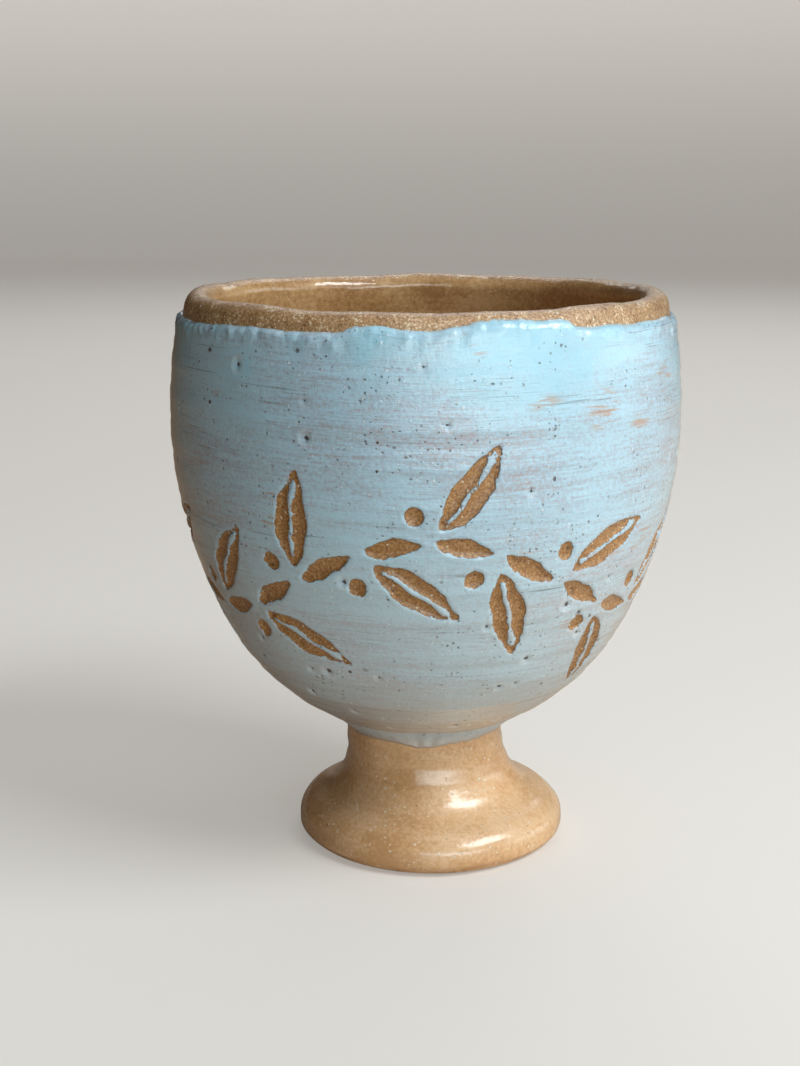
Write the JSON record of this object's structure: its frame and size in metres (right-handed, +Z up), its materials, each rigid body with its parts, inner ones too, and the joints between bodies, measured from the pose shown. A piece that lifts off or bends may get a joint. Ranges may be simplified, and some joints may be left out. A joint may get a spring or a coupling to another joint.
{
  "type": "footed drinking cup",
  "caption": "Egg-shaped thrown ceramic drinking cup on a short flared foot, with a white slip coat carved through to the clay in a running vine.",
  "frame": {"origin": "on the cup's axis, on the plane that the foot stands on", "axes": "+Z up along the cup's axis; -Y towards the picture's camera; +X to its right"},
  "size_m": [0.084, 0.084, 0.094],
  "materials": {
    "clay": "fired tan clay with fine grog",
    "joint_clay": "fired slip of the same clay",
    "white_slip": "brushed white slip under gloss glaze",
    "bowl_glaze": "clear gloss glaze",
    "foot_glaze": "clear gloss glaze",
    "liner_glaze": "clear gloss glaze"
  },
  "bodies": {
    "root": {"bowl": "clay", "foot": "clay", "luting_slip": "joint_clay", "slip_coat": "white_slip", "bowl_glaze": "bowl_glaze", "foot_glaze": "foot_glaze", "liner_glaze": "liner_glaze"}
  },
  "joints": []
}
